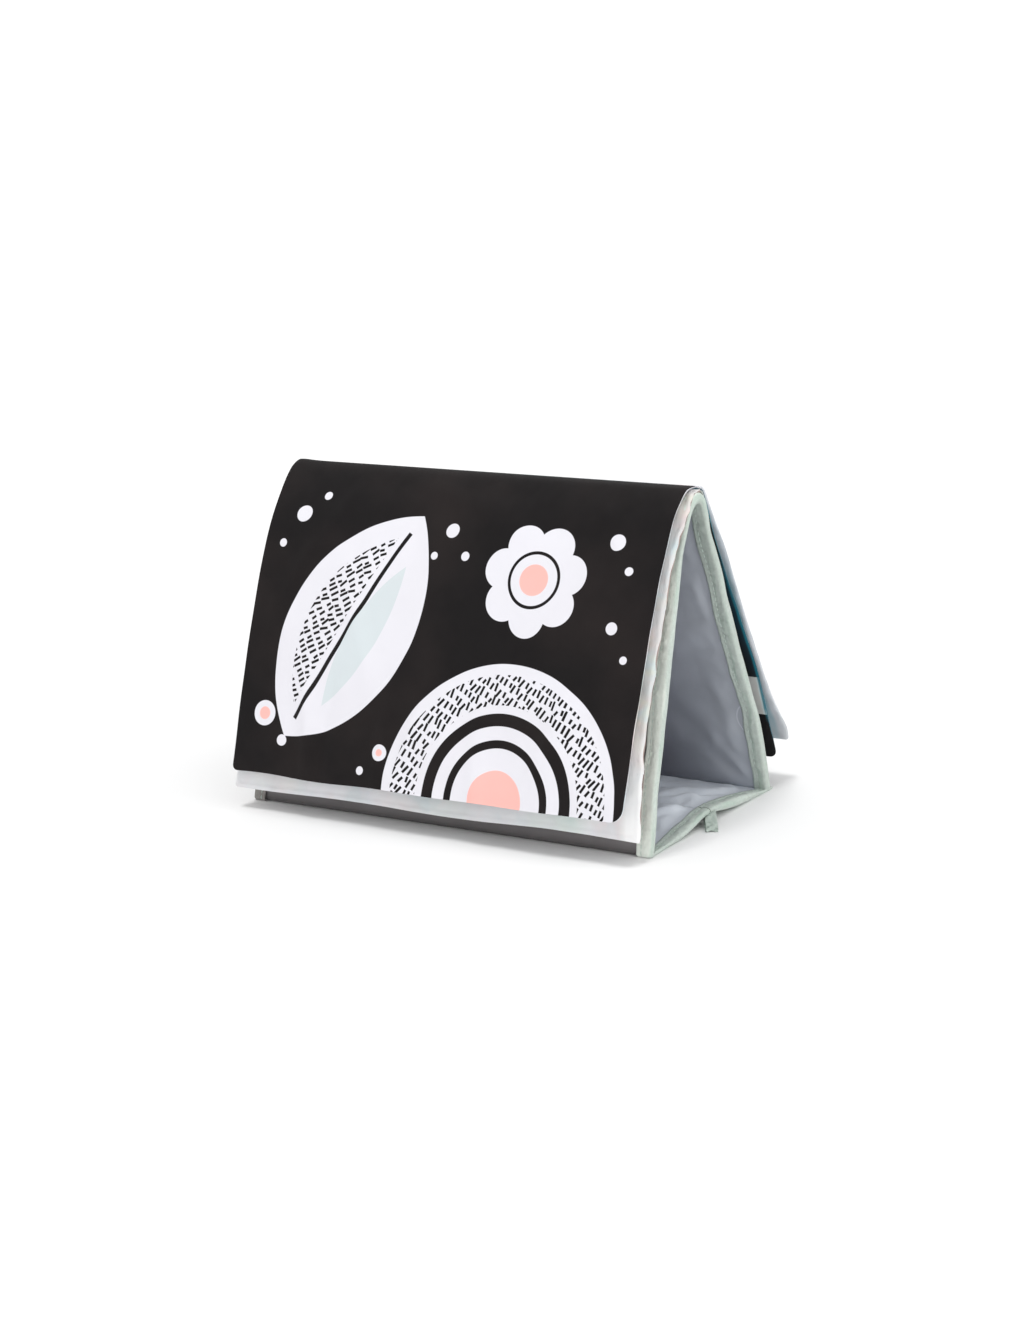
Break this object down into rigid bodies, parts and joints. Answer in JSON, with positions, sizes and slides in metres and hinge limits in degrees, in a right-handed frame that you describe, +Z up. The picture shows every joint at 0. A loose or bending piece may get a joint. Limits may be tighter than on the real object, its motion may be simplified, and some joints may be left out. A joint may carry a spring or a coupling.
{
  "type": "tummy time book",
  "caption": "Free-standing soft triangular floor book for babies: padded bound panels meet at a ridge over a creased fold-up base, with turning cloth pages on each side.",
  "frame": {"origin": "on the floor, at the middle of the box around the whole book", "axes": "+X along the ridge, -Y towards the front pages, +Z up"},
  "size_m": [0.2798, 0.182, 0.186],
  "materials": {
    "grey_satin": "soft satin, dark grey",
    "grey_lining": "satin lining, blue-grey, lightly wrinkled",
    "mint_tape": "woven edge tape, pale mint",
    "stiffener_board": "plain board, sewn in and hidden",
    "black_print": "printed cotton, warm black ground with a white high-contrast pattern",
    "pastel_print": "printed cotton, white with pale watercolour washes",
    "teal_print": "printed cotton, dark teal wash",
    "crinkle_film": "thin crinkle film, sewn in and hidden"
  },
  "bodies": {
    "front_panel": {"front_panel_cover": "grey_satin", "front_panel_board": "stiffener_board", "front_panel_lining": "grey_lining", "front_panel_binding_right": "mint_tape", "front_panel_binding_left": "mint_tape", "front_bottom_seam": "grey_satin", "spine_tape": "mint_tape"},
    "back_panel": {"back_panel_cover": "grey_satin", "back_panel_board": "stiffener_board", "back_panel_lining": "grey_lining", "back_panel_binding_right": "mint_tape", "back_panel_binding_left": "mint_tape", "back_bottom_seam": "grey_satin"},
    "base_front": {"base_front_cover": "grey_satin", "base_front_board": "stiffener_board", "base_front_lining": "grey_lining", "base_front_binding_right": "mint_tape", "base_front_binding_left": "mint_tape", "base_front_crease_fold": "mint_tape", "crease_tab_right": "mint_tape", "crease_tab_left": "mint_tape"},
    "base_back": {"base_back_cover": "grey_satin", "base_back_board": "stiffener_board", "base_back_lining": "grey_lining", "base_back_binding_right": "mint_tape", "base_back_binding_left": "mint_tape", "base_back_crease_fold": "mint_tape"},
    "front_inner_page": {"front_inner_page_outward_face": "pastel_print", "front_inner_page_crinkle_film": "crinkle_film", "front_inner_page_inward_face": "pastel_print", "front_inner_page_root": "pastel_print"},
    "front_outer_page": {"front_outer_page_outward_face": "black_print", "front_outer_page_crinkle_film": "crinkle_film", "front_outer_page_inward_face": "pastel_print", "front_outer_page_root": "black_print"},
    "back_inner_page": {"back_inner_page_outward_face": "teal_print", "back_inner_page_crinkle_film": "crinkle_film", "back_inner_page_inward_face": "black_print", "back_inner_page_root": "teal_print"},
    "back_outer_page": {"back_outer_page_outward_face": "pastel_print", "back_outer_page_crinkle_film": "crinkle_film", "back_outer_page_inward_face": "pastel_print", "back_outer_page_root": "pastel_print"}
  },
  "joints": [
    {"name": "fold", "type": "hinge", "parent": "front_panel", "child": "back_panel", "pos_m": [0, -0.007, 0.176], "axis": [1, 0, 0], "range_deg": [-35, 0], "deforming": ["spine_tape"]},
    {"name": "base_front_fold", "type": "hinge", "parent": "front_panel", "child": "base_front", "pos_m": [0, -0.0635, 0.0056], "axis": [1, 0, 0], "range_deg": [0, 67.7], "deforming": ["base_front_crease_fold"]},
    {"name": "base_back_fold", "type": "hinge", "parent": "back_panel", "child": "base_back", "pos_m": [0, 0.0635, 0.0056], "axis": [1, 0, 0], "range_deg": [-63.7, 0], "deforming": ["base_back_crease_fold"]},
    {"name": "front_inner_page_turn", "type": "hinge", "parent": "front_panel", "child": "front_inner_page", "pos_m": [0, -0.008, 0.1823], "axis": [1, 0, 0], "range_deg": [-85, 0], "deforming": ["front_inner_page_root"]},
    {"name": "front_outer_page_turn", "type": "hinge", "parent": "front_inner_page", "child": "front_outer_page", "pos_m": [0, -0.007, 0.1858], "axis": [1, 0, 0], "range_deg": [-115, 0], "deforming": ["front_outer_page_root"]},
    {"name": "back_inner_page_turn", "type": "hinge", "parent": "back_panel", "child": "back_inner_page", "pos_m": [0, -0.0024, 0.1824], "axis": [1, 0, 0], "range_deg": [0, 85], "deforming": ["back_inner_page_root"]},
    {"name": "back_outer_page_turn", "type": "hinge", "parent": "back_inner_page", "child": "back_outer_page", "pos_m": [0, -0.0018, 0.186], "axis": [1, 0, 0], "range_deg": [0, 115], "deforming": ["back_outer_page_root"]}
  ],
  "couplings": [
    {"joint": "base_front_fold", "follows": "fold", "ratio": -1.9302},
    {"joint": "base_back_fold", "follows": "fold", "ratio": 1.8171}
  ]
}
